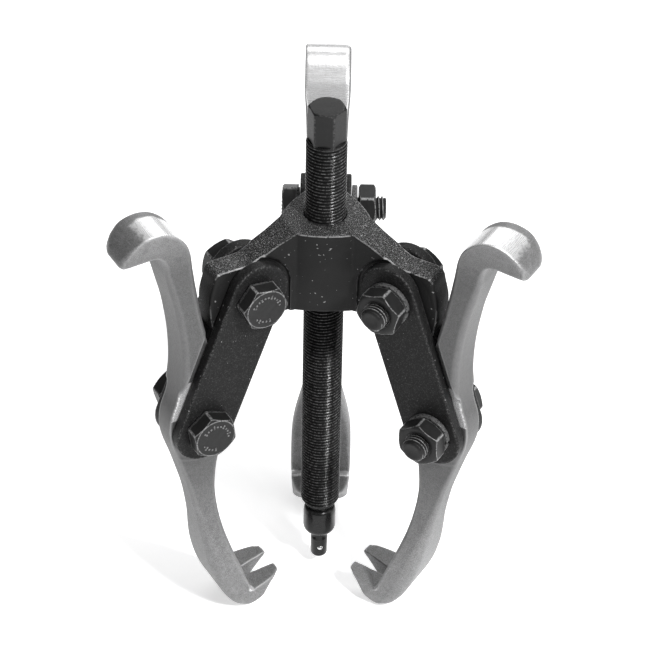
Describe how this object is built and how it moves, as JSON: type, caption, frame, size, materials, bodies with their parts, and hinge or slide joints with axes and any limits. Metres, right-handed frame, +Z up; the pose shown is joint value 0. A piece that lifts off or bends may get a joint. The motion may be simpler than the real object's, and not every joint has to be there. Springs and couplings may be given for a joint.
{
  "type": "gear puller",
  "caption": "Reversible jaw gear puller: forged yoke, forcing screw with swivel tip, and forked jaws hung on paired straps.",
  "frame": {"origin": "centre of the flat end of the screw's swivelling pressure tip", "axes": "+Z up along the screw, the rear arm along +Y, the left and right arms 120 degrees either side of it, towards -X and +X; bolt heads face anticlockwise seen from above"},
  "size_m": [0.1677, 0.1484, 0.2335],
  "materials": {
    "forged_black": "forged, blackened, fine sparkle",
    "strap_black": "satin black, worn edges",
    "screw_black": "oiled black oxide",
    "fastener_black": "black zinc",
    "forged_grey": "satin forged steel, ground gripping faces",
    "bright_steel": "polished",
    "spring_steel": "bare"
  },
  "bodies": {
    "yoke": {"yoke": "forged_black"},
    "tip": {"spindle_tip": "screw_black", "tip_retaining_ring": "spring_steel", "detent_ball": "bright_steel", "detent_spring": "spring_steel", "thrust_ball": "bright_steel"},
    "spindle": {"spindle": "screw_black"},
    "left_link": {"left_strap_head_side": "strap_black", "left_strap_nut_side": "strap_black", "left_yoke_bolt": "fastener_black", "left_yoke_nut": "fastener_black", "left_yoke_lock_washer": "fastener_black"},
    "left_pivot": {"left_jaw_bolt": "fastener_black", "left_jaw_nut": "fastener_black", "left_jaw_lock_washer": "fastener_black"},
    "left_jaw": {"left_jaw": "forged_grey"},
    "right_link": {"right_strap_head_side": "strap_black", "right_strap_nut_side": "strap_black", "right_yoke_bolt": "fastener_black", "right_yoke_nut": "fastener_black", "right_yoke_lock_washer": "fastener_black"},
    "right_pivot": {"right_jaw_bolt": "fastener_black", "right_jaw_nut": "fastener_black", "right_jaw_lock_washer": "fastener_black"},
    "right_jaw": {"right_jaw": "forged_grey"},
    "rear_link": {"rear_strap_head_side": "strap_black", "rear_strap_nut_side": "strap_black", "rear_yoke_bolt": "fastener_black", "rear_yoke_nut": "fastener_black", "rear_yoke_lock_washer": "fastener_black"},
    "rear_pivot": {"rear_jaw_bolt": "fastener_black", "rear_jaw_nut": "fastener_black", "rear_jaw_lock_washer": "fastener_black"},
    "rear_jaw": {"rear_jaw": "forged_grey"}
  },
  "joints": [
    {"name": "spindle_feed", "type": "slide", "parent": "yoke", "child": "tip", "axis": [0, 0, 1], "range_m": [-0.033, 0.11]},
    {"name": "spindle_turn", "type": "hinge", "parent": "tip", "child": "spindle", "pos_m": [0, 0, 0.06], "axis": [0, 0, 1], "range_deg": [-7921, 26401]},
    {"name": "left_link_swing", "type": "hinge", "parent": "yoke", "child": "left_link", "pos_m": [-0.03031, -0.0175, 0.1554], "axis": [-0.5, 0.866, 0], "range_deg": [-1, 60]},
    {"name": "left_pivot_turn", "type": "hinge", "parent": "left_link", "child": "left_pivot", "pos_m": [-0.04969, -0.02869, 0.09973], "axis": [-0.5, 0.866, 0], "range_deg": [-60, 1]},
    {"name": "left_jaw_tilt", "type": "hinge", "parent": "left_pivot", "child": "left_jaw", "pos_m": [-0.04969, -0.02869, 0.09973], "axis": [0.5, -0.866, 0], "range_deg": [-0.7, 8]},
    {"name": "right_link_swing", "type": "hinge", "parent": "yoke", "child": "right_link", "pos_m": [0.03031, -0.0175, 0.1554], "axis": [-0.5, -0.866, 0], "range_deg": [-1, 60]},
    {"name": "right_pivot_turn", "type": "hinge", "parent": "right_link", "child": "right_pivot", "pos_m": [0.04783, -0.02761, 0.09891], "axis": [-0.5, -0.866, 0], "range_deg": [-60, 1]},
    {"name": "right_jaw_tilt", "type": "hinge", "parent": "right_pivot", "child": "right_jaw", "pos_m": [0.04783, -0.02761, 0.09891], "axis": [0.5, 0.866, 0], "range_deg": [-0.7, 8]},
    {"name": "rear_link_swing", "type": "hinge", "parent": "yoke", "child": "rear_link", "pos_m": [0, 0.035, 0.1554], "axis": [1, 0, 0], "range_deg": [-1, 60]},
    {"name": "rear_pivot_turn", "type": "hinge", "parent": "rear_link", "child": "rear_pivot", "pos_m": [0, 0.06036, 0.10102], "axis": [1, 0, 0], "range_deg": [-60, 1]},
    {"name": "rear_jaw_tilt", "type": "hinge", "parent": "rear_pivot", "child": "rear_jaw", "pos_m": [0, 0.06036, 0.10102], "axis": [-1, 0, 0], "range_deg": [-0.7, 8]}
  ],
  "couplings": [
    {"joint": "spindle_turn", "follows": "spindle_feed", "rad_per_m": 4188.8},
    {"joint": "left_pivot_turn", "follows": "left_link_swing", "ratio": -1},
    {"joint": "right_pivot_turn", "follows": "right_link_swing", "ratio": -1},
    {"joint": "rear_pivot_turn", "follows": "rear_link_swing", "ratio": -1}
  ]
}
